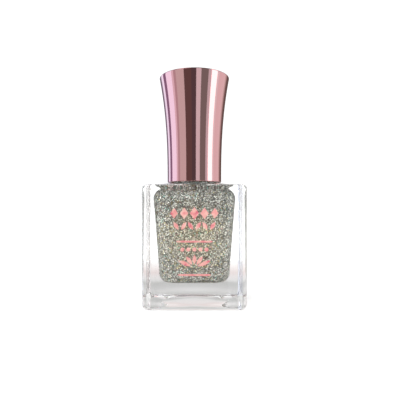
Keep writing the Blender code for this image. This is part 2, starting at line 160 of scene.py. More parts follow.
def square_level(half, corner, z):
    """A rounded square with points on its corners' arcs and along its sides, closest near the arcs."""
    flat = half - corner
    level = []
    for quarter in range(4):
        cosine = math.cos(math.radians(90 * quarter))
        sine = math.sin(math.radians(90 * quarter))
        points = [(flat + x, flat + y) for x, y in arc((0, 0), corner, 0, 90, CORNER_POINTS - 1)]
        for step in range(1, SIDE_POINTS + 1):
            share = (1 - math.cos(math.pi * step / (SIDE_POINTS + 1))) / 2
            points.append((flat * (1 - 2 * share), half))
        for x, y in points:
            level.append((x * cosine - y * sine, x * sine + y * cosine, z))
    return level


LEVEL_ANGLES = [math.atan2(y, x) for x, y, _ in square_level(1.0, 0.5, 0.0)]


def round_level(radius, z):
    """A circle whose points lie in the same directions as a square level's."""
    return [(radius * math.cos(angle), radius * math.sin(angle), z) for angle in LEVEL_ANGLES]


def between(first, second, share, z):
    """The outline that lies a share of the way from the first to the second."""
    return [(a[0] + (b[0] - a[0]) * share, a[1] + (b[1] - a[1]) * share, z) for a, b in zip(first, second)]


def rounded_edge(half, corner, end_corner, edge, z, end_z):
    """Levels of a square that closes in by edge while it goes from z to end_z, as a quarter ellipse does."""
    levels = []
    for step in range(EDGE_STEPS + 1):
        angle = math.pi / 2 * step / EDGE_STEPS
        inward = 1 - math.cos(angle)
        near_corner = corner + (end_corner - corner) * inward
        levels.append(square_level(half - edge * inward, near_corner, z + (end_z - z) * math.sin(angle)))
    return levels


def dome(square, ring, low_z, high_z):
    """Levels that rise from a square outline to a round one, faster towards the round one."""
    levels = []
    for step in range(1, DOME_STEPS + 1):
        share = step / DOME_STEPS
        levels.append(between(square, ring, share, low_z + (high_z - low_z) * share**DOME_POWER))
    return levels


def wall(lower, upper):
    """Levels on the straight wall between two outlines, the first and last of them close to its ends."""
    tall = upper[0][2] - lower[0][2]
    margin = 0.3 * MM / abs(tall)
    shares = [margin] + [step / WALL_STEPS for step in range(1, WALL_STEPS)] + [1 - margin]
    return [between(lower, upper, share, lower[0][2] + tall * share) for share in shares]


# ---------------------------------------------------------------- mesh builders


def finish_mesh(name, shape, sharp=SHARP_ANGLE):
    """Turns a shape into a smooth-shaded mesh whose folds above the sharp angle stay edges."""
    mesh = bpy.data.meshes.new(name)
    bmesh.ops.recalc_face_normals(shape, faces=shape.faces)
    shape.to_mesh(mesh)
    shape.free()
    mesh.shade_smooth()
    mesh.set_sharp_from_angle(angle=math.radians(sharp))
    return mesh


def add_piece(name, mesh, material, body, replaced):
    """A piece of the object, riding on a body and standing for the CAD nodes that it replaces."""
    piece = bpy.data.objects.new(name, mesh)
    bpy.context.scene.collection.objects.link(piece)
    mesh.materials.append(material)
    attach(piece, body)
    if replaced:
        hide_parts(*replaced)
    return piece


def repaint(name, material):
    """Gives a CAD node that keeps its shape a better material."""
    materials = frame["nodes"][name].data.materials
    materials.clear()
    materials.append(material)


def skin(shape, levels, caps=True):
    """Joins levels with equal numbers of points into a skin, capped at its first and last level."""
    rings = [[shape.verts.new(point) for point in level] for level in levels]
    for lower, upper in zip(rings, rings[1:]):
        for here in range(len(lower)):
            after = (here + 1) % len(lower)
            shape.faces.new((lower[here], lower[after], upper[after], upper[here]))
    if caps:
        shape.faces.new(rings[0])
        shape.faces.new(rings[-1])


def loft(name, levels):
    """A closed mesh through levels with equal numbers of points."""
    shape = bmesh.new()
    skin(shape, levels)
    return finish_mesh(name, shape)


def turned(name, profile, closed=False):
    """A turned mesh. A profile that isn't closed starts and ends on the axis."""
    shape = bmesh.new()
    points = [shape.verts.new((radius, 0.0, height)) for radius, height in profile]
    edges = [shape.edges.new(pair) for pair in zip(points, points[1:])]
    if closed:
        edges.append(shape.edges.new((points[-1], points[0])))
    geometry = points + edges
    axis = {"cent": (0, 0, 0), "axis": (0, 0, 1)}
    bmesh.ops.spin(shape, geom=geometry, angle=TAU, steps=ROUND_STEPS, use_merge=True, **axis)
    bmesh.ops.remove_doubles(shape, verts=shape.verts, dist=0.0005 * MM)
    return finish_mesh(name, shape)


def thread_levels(root, crest, z):
    """Sections of a helical ridge with a rounded crest that fades in at both ends."""
    lead = 0.12  # turns over which the ridge fades in
    half_root = 0.6 * MM
    half_crest = 0.5 * MM
    crest_steps = 8
    outward = math.copysign(1.0, crest - root)
    buried = root - outward * 0.3 * MM  # the ridge's foot, inside the wall
    sunk = outward * 0.15 * MM  # how deep the faded ends lie in the wall
    levels = []
    for step in range(round(THREAD_TURNS * THREAD_STEPS) + 1):
        turns = step / THREAD_STEPS
        fade = min(1.0, min(turns, THREAD_TURNS - turns) / lead)
        fade = fade * fade * (3 - 2 * fade)
        high = root + (crest - root) * fade - sunk * (1 - fade)
        section = [(buried, -half_root)]
        for share in range(crest_steps + 1):
            angle = math.pi * share / crest_steps
            drop = (high - root) * (1 - math.sin(angle)) ** 2
            section.append((high - drop, -half_crest * math.cos(angle)))
        section.append((buried, half_root))
        turn = TAU * turns
        rise = z + THREAD_PITCH * turns
        levels.append([(r * math.cos(turn), r * math.sin(turn), rise + height) for r, height in section])
    return levels


def union(piece, mesh):
    """Joins another closed mesh to a piece for good."""
    other = bpy.data.objects.new("joined", mesh)
    bpy.context.scene.collection.objects.link(other)
    boolean = piece.modifiers.new("join", "BOOLEAN")
    boolean.object = other
    boolean.operation = "UNION"
    boolean.solver = "EXACT"
    bpy.context.view_layer.update()
    graph = bpy.context.evaluated_depsgraph_get()
    joined = bpy.data.meshes.new_from_object(piece.evaluated_get(graph), depsgraph=graph)
    piece.modifiers.remove(boolean)
    piece.data = joined
    bpy.data.objects.remove(other)
    joined.shade_smooth()
    joined.set_sharp_from_angle(angle=math.radians(SHARP_ANGLE))


# ---------------------------------------------------------------- materials


ROSE = (0.69, 0.40, 0.40)
# a painted dark reflection for the cap rim's rounded edge
RIM_REFLECTION_ROSE = (0.30, 0.15, 0.16)

# The polish: painted shade that darkens it towards its top and a painted pool of warm light in its middle,
# both by height, and painted light that makes its top glow under the cap
FLAKE_CELL = 0.4 * MM
FLAKE_TILT = 0.7
PAINTED_SHADE_LOW = 8 * MM
PAINTED_SHADE_HIGH = 37 * MM
WARM_LIGHT_Z = 21 * MM
WARM_LIGHT_RADIUS = 12 * MM
TOP_GLOW_LOW = 34.9 * MM
TOP_GLOW_HIGH = 35.7 * MM
TOP_GLOW = 0.15


def grey(value):
    return (value, value, value)


class Paint:
    """A material under construction: a Principled shader and helpers that add and join nodes."""

    def __init__(self, name, colour, roughness, metallic=0.0, **sockets):
        self.material = bpy.data.materials.new(name)
        self.material.use_nodes = True
        self.tree = self.material.node_tree
        self.shader = self.tree.nodes["Principled BSDF"]
        self.set("Base Color", (*colour, 1.0))
        self.set("Roughness", roughness)
        self.set("Metallic", metallic)
        for socket, value in sockets.items():
            self.set(socket.replace("_", " "), value)

    def set(self, socket, value):
        self.shader.inputs[socket].default_value = value

    def node(self, kind, values=None, **settings):
        made = self.tree.nodes.new("ShaderNode" + kind)
        for name, value in settings.items():
            setattr(made, name, value)
        for socket, value in (values or {}).items():
            made.inputs[socket].default_value = value
        return made

    def join(self, source, output, target, socket):
        self.tree.links.new(source.outputs[output], target.inputs[socket])

    def place(self):
        """Where a point lies; its output "Object" is in the CAD's metres."""
        return self.node("TexCoord")

    def noise(self, size, detail=4.0, roughness=0.5):
        """Noise whose features are about size metres across."""
        made = self.node("TexNoise", {"Scale": 1 / size, "Detail": detail, "Roughness": roughness})
        self.join(self.place(), "Object", made, "Vector")
        return made

    def cells(self, size):
        """A pattern of cells about size metres across."""
        made = self.node("TexVoronoi", {"Scale": 1 / size})
        self.join(self.place(), "Object", made, "Vector")
        return made

    def ramp(self, source, output, stops, interpolation="LINEAR"):
        """A colour ramp, whose stops are pairs of a position and a colour."""
        made = self.node("ValToRGB")
        made.color_ramp.interpolation = interpolation
        elements = made.color_ramp.elements
        while len(elements) < len(stops):
            elements.new(0.5)
        for element, (position, colour) in zip(elements, stops):
            element.position = position
            element.color = (*colour, 1.0)
        self.join(source, output, made, "Fac")
        return made

    def range(self, source, output, low, high):
        """Spreads an output that goes from 0 to 1 over low to high."""
        made = self.node("MapRange", {"To Min": low, "To Max": high})
        self.join(source, output, made, "Value")
        return made

    def height(self, low, high, top=1.0):
        """How high a point lies, from 0 at low or below to top at high or above."""
        split = self.node("SeparateXYZ")
        self.join(self.place(), "Object", split, "Vector")
        made = self.node("MapRange", {"From Min": low, "From Max": high, "To Max": top})
        self.join(split, "Z", made, "Value")
        return made

    def normal(self):
        """The surface's direction, split into its three parts."""
        split = self.node("SeparateXYZ")
        self.join(self.node("NewGeometry"), "Normal", split, "Vector")
        return split

    def bump(self, source, output, height, strength):
        made = self.node("Bump", {"Distance": height, "Strength": strength})
        self.join(source, output, made, "Height")
        self.join(made, "Normal", self.shader, "Normal")

    def multiply(self, first, second):
        """The product of two colour outputs."""
        made = self.node("Mix", data_type="RGBA", blend_type="MULTIPLY")
        made.inputs["Factor"].default_value = 1.0
        self.tree.links.new(first, made.inputs[6])
        self.tree.links.new(second, made.inputs[7])
        return made.outputs[2]

    def rough(self, source, output, low, high):
        """Lets an output drive the roughness between low and high."""
        self.join(self.range(source, output, low, high), "Result", self.shader, "Roughness")


def glass_material():
    """Pressed glass: clear, with the faint waviness of a moulded face."""
    paint = Paint("clear_glass", (0.985, 0.995, 0.99), 0.0, Transmission_Weight=1.0, IOR=1.5)
    paint.bump(paint.noise(6 * MM, 2.0), "Fac", 0.02 * MM, 0.35)
    thin_at_grazing(paint)
    return paint.material


def thin_at_grazing(paint):
    """Lets light straight through upright walls seen edge on, so that their outlines stay pale.

    Faces that are nearly level, as the base is, stay as they are."""
    layer = paint.node("LayerWeight", {"Blend": 0.5})
    fading = paint.node("MapRange", {"From Min": 0.3, "From Max": 0.9, "To Min": 1.0, "To Max": 0.4})
    paint.join(layer, "Facing", fading, "Value")
    upward = paint.node("Math", operation="ABSOLUTE")
    paint.join(paint.normal(), "Z", upward, 0)
    level = paint.node("MapRange", {"From Min": 0.96, "From Max": 0.995})
    paint.join(upward, "Value", level, "Value")
    alpha = paint.node("Math", operation="MAXIMUM")
    paint.join(fading, "Result", alpha, 0)
    paint.join(level, "Result", alpha, 1)
    paint.join(alpha, "Value", paint.shader, "Alpha")


def painted_light_by_height(paint):
    """Painted shade and light by height: a colour that darkens towards the top of the bottle, under the cap,
    and a painted pool of warm light in the middle.
    """
    stops = (
        (0.12, grey(1.06)),
        (0.30, grey(0.93)),
        (0.52, grey(0.89)),
        (0.69, grey(0.80)),
        (1.0, grey(0.53)),
    )
    # painted shade: the colour darkens towards the top, under the cap
    fading = paint.ramp(paint.height(PAINTED_SHADE_LOW, PAINTED_SHADE_HIGH), "Result", stops)
    # a painted pool of warm light round the middle of the polish
    middle = paint.node("Mapping")
    middle.inputs["Scale"].default_value = (1 / WARM_LIGHT_RADIUS, 0.0, 1 / WARM_LIGHT_RADIUS)
    middle.inputs["Location"].default_value = (0.0, 0.0, -WARM_LIGHT_Z / WARM_LIGHT_RADIUS)
    paint.join(paint.place(), "Object", middle, "Vector")
    warm_light = paint.node("TexGradient", gradient_type="SPHERICAL")
    paint.join(middle, "Vector", warm_light, "Vector")
    warm_light_colour = paint.ramp(warm_light, "Fac", ((0.0, grey(0.84)), (0.7, (1.0, 0.94, 0.80))))
    return paint.multiply(fading.outputs["Color"], warm_light_colour.outputs["Color"])


def polish_material():
    """Lacquer packed with metal flakes: each cell is a flake with its own tilt and shade, some tinted."""
    paint = Paint("glitter_polish", grey(0.3), 0.3, 0.75)
    flakes = paint.cells(FLAKE_CELL)
    split = paint.node("SeparateColor")
    paint.join(flakes, "Color", split, "Color")
    shades = (
        (0.0, (0.62, 0.62, 0.56)),
        (0.25, (0.85, 0.85, 0.77)),
        (0.50, (1.05, 1.05, 0.945)),
        (0.75, (1.30, 1.30, 1.17)),
    )
    shade = paint.ramp(split, "Red", shades, "CONSTANT")
    tints = (
        (0.0, (1.0, 1.0, 1.0)),
        (0.80, (1.0, 0.90, 0.62)),
        (0.90, (1.0, 0.78, 0.80)),
        (0.95, (0.60, 0.95, 0.90)),
    )
    tint = paint.ramp(split, "Green", tints, "CONSTANT")
    gaps = ((0.0, grey(1.5)), (0.25, grey(1.3)), (0.42, grey(0.6)), (0.60, grey(0.35)))
    gap = paint.ramp(flakes, "Distance", gaps)
    flake = paint.multiply(shade.outputs["Color"], tint.outputs["Color"])
    parted = paint.multiply(flake, gap.outputs["Color"])
    # the flakes' colour times the painted shade and light by height
    shaded_and_lit_flakes = paint.multiply(parted, painted_light_by_height(paint))
    paint.tree.links.new(shaded_and_lit_flakes, paint.shader.inputs["Base Color"])
    # painted light: the polish's top glows a little under the cap, in the flakes' colour, though it is no
    # lamp
    paint.tree.links.new(parted, paint.shader.inputs["Emission Color"])
    glow = paint.height(TOP_GLOW_LOW, TOP_GLOW_HIGH, TOP_GLOW)
    paint.join(glow, "Result", paint.shader, "Emission Strength")
    tilt_flakes(paint, flakes)
    return paint.material


def tilt_flakes(paint, flakes):
    """Turns each cell's normal its own way."""
    centre = paint.node("VectorMath", operation="SUBTRACT")
    paint.join(flakes, "Color", centre, 0)
    centre.inputs[1].default_value = (0.5, 0.5, 0.5)
    scaled = paint.node("VectorMath", operation="SCALE")
    paint.join(centre, "Vector", scaled, 0)
    scaled.inputs["Scale"].default_value = FLAKE_TILT
    tilted = paint.node("VectorMath", operation="ADD")
    paint.join(paint.node("NewGeometry"), "Normal", tilted, 0)
    paint.join(scaled, "Vector", tilted, 1)
    normal = paint.node("VectorMath", operation="NORMALIZE")
    paint.join(tilted, "Vector", normal, 0)
    paint.join(normal, "Vector", paint.shader, "Normal")


def flake_material(name, dark, bright, tint):
    """Loose glitter: mirror-like flakes, each a little lighter or darker than the next."""
    paint = Paint(name, tint, 0.2, 1.0)
    geometry = paint.node("NewGeometry")
    stops = (
        (0.0, tuple(dark * channel for channel in tint)),
        (1.0, tuple(bright * channel for channel in tint)),
    )
    shade = paint.ramp(geometry, "Random Per Island", stops)
    paint.join(shade, "Color", paint.shader, "Base Color")
    return paint.material


def cap_material():
    """Rose-gold metallising over smooth plastic, a little handled, with a painted dark reflection on the
    rim's rounded edge, where it faces partly upward.
    """
    paint = Paint("rose_metal", ROSE, 0.05, 1.0)
    # where the rim's rounded edge faces partly upward, a painted dark reflection replaces the rose
    stops = ((0.0, ROSE), (0.1, RIM_REFLECTION_ROSE), (0.85, RIM_REFLECTION_ROSE), (0.95, ROSE))
    shade = paint.ramp(paint.normal(), "Z", stops)
    paint.join(shade, "Color", paint.shader, "Base Color")
    paint.rough(paint.noise(5 * MM, 5.0, 0.6), "Fac", 0.02, 0.09)
    return paint.material


def disc_material():
    """The same metallising on a disc with the fine rings of a turned mould."""
    paint = Paint("rose_metal_disc", ROSE, 0.12, 1.0)
    waves = {"Scale": 1 / (2.4 * MM), "Distortion": 0.0}
    rings = paint.node("TexWave", waves, wave_type="RINGS", rings_direction="Z")
    paint.join(paint.place(), "Object", rings, "Vector")
    paint.bump(rings, "Fac", 0.004 * MM, 0.5)
    return paint.material


def foil_material():
    """Hot-stamped pink foil with a fine bumpy grain; its colour lies in patches of painted shade and painted
    peach highlight.
    """
    paint = Paint("pink_foil", (0.90, 0.42, 0.40), 0.3, 0.4)
    painted_light_patches = paint.noise(1.6 * MM, 3.0)
    # patches of painted shade in darker pink and painted highlight in peach
    stops = ((0.32, (0.80, 0.17, 0.24)), (0.46, (0.92, 0.38, 0.36)), (0.66, (0.97, 0.62, 0.54)))
    shade = paint.ramp(painted_light_patches, "Fac", stops)
    paint.join(shade, "Color", paint.shader, "Base Color")
    paint.bump(paint.noise(0.15 * MM, 2.0), "Fac", 0.01 * MM, 0.4)
    return paint.material


def plastic_material(name, colour, roughness):
    """Satin moulded plastic with a fine spark-eroded grain."""
    paint = Paint(name, colour, roughness, Subsurface_Weight=0.1, Subsurface_Scale=1 * MM)
    grain = paint.noise(0.12 * MM, 3.0)
    paint.bump(grain, "Fac", 0.008 * MM, 0.5)
    paint.rough(paint.noise(3 * MM, 3.0), "Fac", roughness - 0.08, roughness + 0.08)
    return paint.material


def foam_material():
    """Closed-cell foam."""
    paint = Paint("liner_foam", grey(0.75), 0.8)
    paint.bump(paint.cells(0.18 * MM), "Distance", 0.03 * MM, 0.8)
    return paint.material


def bristle_material():
    """Nylon filaments, each a little different, wetted by the polish."""
    paint = Paint("bristle_nylon", grey(0.06), 0.25, Coat_Weight=0.5)
    geometry = paint.node("NewGeometry")
    stops = ((0.0, (0.02, 0.02, 0.022)), (1.0, (0.13, 0.125, 0.12)))
    shade = paint.ramp(geometry, "Random Per Island", stops)
    paint.join(shade, "Color", paint.shader, "Base Color")
    return paint.material


def metal_material(name, colour, roughness):
    """Bare metal with fine random scratches in its gloss."""
    paint = Paint(name, colour, roughness, 1.0)
    paint.rough(paint.noise(0.4 * MM, 6.0, 0.7), "Fac", roughness * 0.6, roughness * 1.6)
    return paint.material


def label_material():
    """Coated paper with faint fibres."""
    paint = Paint("label_paper", (0.92, 0.86, 0.85), 0.5)
    fibres = paint.noise(0.5 * MM, 6.0, 0.7)
    shade = paint.ramp(fibres, "Fac", ((0.3, (0.90, 0.84, 0.83)), (0.7, (0.96, 0.91, 0.90))))
    paint.join(shade, "Color", paint.shader, "Base Color")
    paint.bump(fibres, "Fac", 0.01 * MM, 0.3)
    return paint.material


# ---------------------------------------------------------------- bottle


def cavity_levels(gap):
    """Levels of the cavity from its mouth under the neck down to its floor, drawn in by gap."""
    ceiling = rounded_edge(
        CEILING_HALF - gap,
        CEILING_CORNER - gap,
        CEILING_END_CORNER,
        CEILING_EDGE,
        CEILING_Z - CEILING_EDGE - gap,
        CEILING_Z - gap,
    )
    mouth = round_level(MOUTH_RADIUS - gap, MOUTH_Z - gap)
    floor = rounded_edge(
        FLOOR_HALF - gap,
        FLOOR_CORNER - gap,
        CEILING_END_CORNER,
        FLOOR_EDGE,
        FLOOR_Z + FLOOR_EDGE + gap,
        FLOOR_Z + gap,
    )
    above = dome(ceiling[-1], mouth, CEILING_Z - gap, MOUTH_Z - gap)
    return above[::-1] + ceiling[::-1] + wall(ceiling[0], floor[0]) + floor


def outside_levels():
    """Levels from the recess under the base, up the body and over the shoulder to the neck's root."""
    base = rounded_edge(BODY_HALF, BODY_CORNER, SHOULDER_CORNER, BASE_EDGE, BASE_HEEL, 0.0)[::-1]
    shoulder = rounded_edge(
        BODY_HALF, BODY_CORNER, SHOULDER_CORNER, SHOULDER_EDGE, SHOULDER_Z - SHOULDER_EDGE, SHOULDER_Z
    )
    neck_root = round_level(NECK_RADIUS + NECK_FILLET, NECK_ROOT_Z)
    recess = arc((RECESS_RADIUS - RECESS_EDGE, RECESS_DEPTH - RECESS_EDGE), RECESS_EDGE, 90, 0, 4)
    recess += arc((RECESS_RADIUS + RECESS_EDGE, RECESS_EDGE), RECESS_EDGE, 180, 270, 4)
    levels = [round_level(RECESS_RADIUS / 2, RECESS_DEPTH)]
    levels += [round_level(radius, z) for radius, z in recess]
    levels += base + wall(base[-1], shoulder[0]) + shoulder
    return levels + dome(shoulder[-1], neck_root, SHOULDER_Z, NECK_ROOT_Z)


def neck_levels():
    """Up the neck's outside, over its rim and down its bore."""
    fillet = arc((NECK_RADIUS + NECK_FILLET, NECK_ROOT_Z + NECK_FILLET), NECK_FILLET, 270, 180, 8)[1:]
    outer_rim = arc((NECK_RADIUS - NECK_EDGE, NECK_TOP_Z - NECK_EDGE), NECK_EDGE, 0, 90, 6)
    inner_rim = arc((BORE_RADIUS + NECK_EDGE, NECK_TOP_Z - NECK_EDGE), NECK_EDGE, 90, 180, 6)
    bore_end = arc((BORE_RADIUS + NECK_FILLET, MOUTH_Z + NECK_FILLET), NECK_FILLET, 180, 270, 8)[:-1]
    return [round_level(radius, z) for radius, z in fillet + outer_rim + inner_rim + bore_end]


def build_glass():
    levels = outside_levels() + neck_levels() + cavity_levels(0.0)
    levels.append(round_level(FLOOR_HALF / 3, FLOOR_Z))
    mesh = loft("bottle_glass", levels)
    bottle = add_piece("bottle_glass", mesh, glass_material(), "bottle", ["glass_bottle"])
    union(bottle, loft("neck_thread", thread_levels(NECK_RADIUS, THREAD_CREST, THREAD_Z)))


def build_polish():
    """The liquid, which wets the glass and curves up a little where it meets the neck."""
    levels = cavity_levels(-HIDE_IN_WALL)[::-1]
    surface = MOUTH_Z + HIDE_IN_WALL
    meniscus = ((0.3 * MM, 0.12 * MM), (0.7 * MM, 0.2 * MM), (1.4 * MM, 0.24 * MM), (2.6 * MM, 0.25 * MM))
    for inward, lower in meniscus:
        levels.append(round_level(MOUTH_RADIUS - inward, surface - lower))
    levels.insert(0, round_level(FLOOR_HALF / 3, FLOOR_Z - HIDE_IN_WALL))
    mesh = loft("polish_body", levels)
    add_piece("polish_body", mesh, polish_material(), "bottle", ["polish"])


def polish_wall_point(chance):
    """A random point on the polish's side wall and the wall's outward direction there."""
    side = chance.randrange(4)
    share = chance.random()
    # Within the flat part of the wall, a little way into its rounded ends and corners
    low = FLOOR_Z + FLOOR_EDGE * 0.6
    high = CEILING_Z - CEILING_EDGE * 0.6
    z = low + (high - low) * share
    half = FLOOR_HALF + (CEILING_HALF - FLOOR_HALF) * share
    along = (2 * chance.random() - 1) * (half - FLOOR_CORNER * 0.8)
    turn = math.radians(90 * side)
    outward = (math.cos(turn), math.sin(turn))
    return (half * outward[0] - along * outward[1], half * outward[1] + along * outward[0], z), outward


def add_flake(shape, point, outward, chance):
    """A six-sided flake, thin and closed, tilted a little from the wall that it lies against."""
    radius = chance.uniform(0.06, 0.11) * MM
    thickness = 0.012 * MM
    lean = [chance.gauss(0.0, 0.28) for _ in range(2)]
    across = (-outward[1], outward[0])
    twist = chance.random() * TAU
    depth = chance.uniform(0.0, 0.04) * MM
    rings = []
    for level in (-thickness / 2, thickness / 2):
        ring = []
        for corner in range(6):
            angle = twist + TAU * corner / 6
            u = radius * math.cos(angle)
            v = radius * math.sin(angle)
            out = depth + level + lean[0] * u + lean[1] * v
            x = point[0] + across[0] * u + outward[0] * out
            y = point[1] + across[1] * u + outward[1] * out
            ring.append(shape.verts.new((x, y, point[2] + v)))
        rings.append(ring)
    for here in range(6):
        after = (here + 1) % 6
        shape.faces.new((rings[0][here], rings[0][after], rings[1][after], rings[1][here]))
    shape.faces.new(rings[0][::-1])
    shape.faces.new(rings[1])


def build_flakes():
    """Larger glitter flakes that lie against the glass, in four tints."""
    # name, number of flakes, darkest and brightest shade, tint
    kinds = (
        ("silver", 3600, 0.3, 1.0, (1.0, 1.0, 0.96)),
        ("gold", 900, 0.4, 1.0, (1.0, 0.90, 0.60)),
        ("pink", 300, 0.3, 1.0, (1.0, 0.78, 0.80)),
        ("teal", 240, 0.2, 0.8, (0.45, 0.9, 0.85)),
    )
    for name, count, dark, bright, tint in kinds:
        chance = random.Random("flakes " + name)
        shape = bmesh.new()
        for _ in range(count):
            add_flake(shape, *polish_wall_point(chance), chance)
        mesh = finish_mesh("glitter_" + name, shape, sharp=20)
        material = flake_material("flakes_" + name, dark, bright, tint)
        add_piece("glitter_" + name, mesh, material, "bottle", [])


def build_balls():
    steel = metal_material("ball_steel", grey(0.62), 0.12)
    for side in ("front", "rear"):
        low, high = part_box("mixing_ball_" + side)
        shape = bmesh.new()
        bmesh.ops.create_icosphere(shape, subdivisions=5, radius=(high[2] - low[2]) / 2)
        middle = [(a + b) / 2 for a, b in zip(low, high)]
        bmesh.ops.translate(shape, vec=middle, verts=shape.verts)
        name = "stirring_ball_" + side
        mesh = finish_mesh(name, shape)
        add_piece(name, mesh, steel, "ball_" + side, ["mixing_ball_" + side])


def build_label():
    """The blank sticker under the base, with a rounded edge."""
    radius = LABEL_HIGH[0]
    top = LABEL_HIGH[2]
    thickness = LABEL_HIGH[2] - LABEL_LOW[2]
    edge = thickness / 2
    profile = [(0.0, top), (radius / 2, top)]
    profile += arc((radius - edge, top - edge), edge, 90, -90, 6)
    profile += [(radius / 2, top - thickness), (0.0, top - thickness)]
    mesh = turned("sticker", profile)
    add_piece("sticker", mesh, label_material(), "bottle", ["base_label"])


def paint_foil():
    """The foil marks keep their CAD shapes."""
    foil = foil_material()
    for name in frame["nodes"]:
        if name.startswith("foil_"):
            repaint(name, foil)


# ---------------------------------------------------------------- cap


def cap_radius(height):
    """The cap's outer radius at a height above its bottom edge: nearly straight, then flared."""
    return CAP_BOTTOM_RADIUS + (CAP_TOP_RADIUS - CAP_BOTTOM_RADIUS) * (height / CAP_HEIGHT) ** CAP_FLARE_POWER


def build_shell():
    """The flared overcap: its rim, outside, lip and bore, and the ledge that the disc lies on."""
    rim = DISC_RADIUS + FIT
    rim_chamfer = 0.1 * MM
    lip_chamfer = 0.15 * MM
    ledge = CAP_HEIGHT - DISC_THICKNESS - FIT
    bore = CAP_BOTTOM_RADIUS - CAP_WALL
    straight = INNER_HIGH[2] - CAP_Z
    side_top = CAP_HEIGHT - CAP_RIM_EDGE
    side_steps = 60
    bore_steps = 16
    profile = [(rim, CAP_HEIGHT - rim_chamfer), (rim + rim_chamfer, CAP_HEIGHT)]
    profile += arc((cap_radius(side_top) - CAP_RIM_EDGE, side_top), CAP_RIM_EDGE, 90, 0, 8)
    for step in range(1, side_steps):
        height = side_top + (CAP_LIP_EDGE - side_top) * step / side_steps
        profile.append((cap_radius(height), height))
    profile += arc((CAP_BOTTOM_RADIUS - CAP_LIP_EDGE, CAP_LIP_EDGE), CAP_LIP_EDGE, 0, -90, 5)
    profile += [(bore + lip_chamfer, 0.0), (bore, lip_chamfer), (bore, straight)]
    for step in range(1, bore_steps + 1):
        height = straight + (ledge - straight) * step / bore_steps
        profile.append((min(cap_radius(height) - CAP_WALL, LEDGE_RADIUS), height))
    profile.append((rim, ledge))
    profile = [(radius, height + CAP_Z) for radius, height in profile]
    mesh = turned("overcap", profile, closed=True)
    add_piece("overcap", mesh, cap_material(), "cap", ["cap_shell"])


def build_disc():
    """The disc set in the cap's top, very slightly dished."""
    top = DISC_HIGH[2]
    edge = 0.15 * MM
    dish = 0.04 * MM
    steps = 12
    profile = []
    for step in range(steps + 1):
        radius = (DISC_RADIUS - edge) * step / steps
        profile.append((radius, top - dish * (1 - (step / steps) ** 2)))
    profile += arc((DISC_RADIUS - edge, top - edge), edge, 90, 0, 4)[1:]
    profile += [(DISC_RADIUS, DISC_LOW[2]), (0.0, DISC_LOW[2])]
    add_piece("cap_disc", turned("cap_disc", profile), disc_material(), "cap", ["cap_top_disc"])


def plain_level(radius, z, count=GRIP_RIBS * RIB_POINTS):
    """A circle of evenly spaced points."""
    return [(radius * math.cos(TAU * s / count), radius * math.sin(TAU * s / count), z) for s in range(count)]


def ribbed_level(crest, z):
    """A round level with smooth grip ribs, whose points lie in the same directions as a plain level's."""
    level = []
    for step, (x, y, height) in enumerate(plain_level(1.0, z)):
        rib = 0.5 + 0.5 * math.cos(TAU * step / RIB_POINTS)
        radius = INNER_CAP_RADIUS + (crest - INNER_CAP_RADIUS) * rib**0.5
        level.append((radius * x, radius * y, height))
    return level


def build_inner_cap():
    """The threaded closure inside the overcap."""
    crest = INNER_HIGH[0]
    low = INNER_LOW[2]
    high = INNER_HIGH[2]
    middle = 0.3 * INNER_CAP_BORE
    ceiling_edge = 0.4 * MM
    bore_edge = 0.15 * MM
    edge = 0.3 * MM
    ceiling_centre = (INNER_CAP_BORE - ceiling_edge, INNER_CAP_CEILING - ceiling_edge)
    inside = [(middle, INNER_CAP_CEILING)]
    inside += arc(ceiling_centre, ceiling_edge, 90, 0, 5)
    inside += arc((INNER_CAP_BORE + bore_edge, low + bore_edge), bore_edge, 180, 270, 4)
    inside += arc((INNER_CAP_RADIUS - edge, low + edge), edge, 270, 360, 5)
    levels = [plain_level(radius, z) for radius, z in inside]
    levels += [ribbed_level(crest, low + 2 * edge), ribbed_level(crest, high - 2 * edge)]
    outside = arc((INNER_CAP_RADIUS - edge, high - edge), edge, 0, 90, 5)
    levels += [plain_level(radius, z) for radius, z in outside]
    levels.append(plain_level(middle, high))
    white = plastic_material("cap_plastic", grey(0.82), 0.4)
    closure = add_piece("closure", loft("closure", levels), white, "cap", ["inner_cap"])
    thread = thread_levels(INNER_CAP_BORE, CAP_THREAD_CREST, THREAD_Z - THREAD_PITCH / 2)
    union(closure, loft("cap_thread", thread))


def build_liner():
    """A soft washer with rounded edges and the ring that the neck presses into it."""
    outer = LINER_HIGH[0]
    inner = 2.9 * MM
    low = LINER_LOW[2]
    high = LINER_HIGH[2]
    edge = 0.2 * MM
    slope = 0.05 * MM
    pressed = low + 0.06 * MM
    profile = arc((outer - edge, high - edge), edge, 90, 0, 5)
    profile += arc((outer - edge, low + edge), edge, 0, -90, 5)
    profile += [(NECK_RADIUS + slope, low), (NECK_RADIUS - slope, pressed)]
    profile += [(BORE_RADIUS + slope, pressed), (BORE_RADIUS - slope, low)]
    profile += arc((inner + edge, low + edge), edge, -90, -180, 5)
    profile += arc((inner + edge, high - edge), edge, 180, 90, 5)
    mesh = turned("washer", profile, closed=True)
    add_piece("washer", mesh, foam_material(), "seal", ["seal_liner"])


# ---------------------------------------------------------------- brush


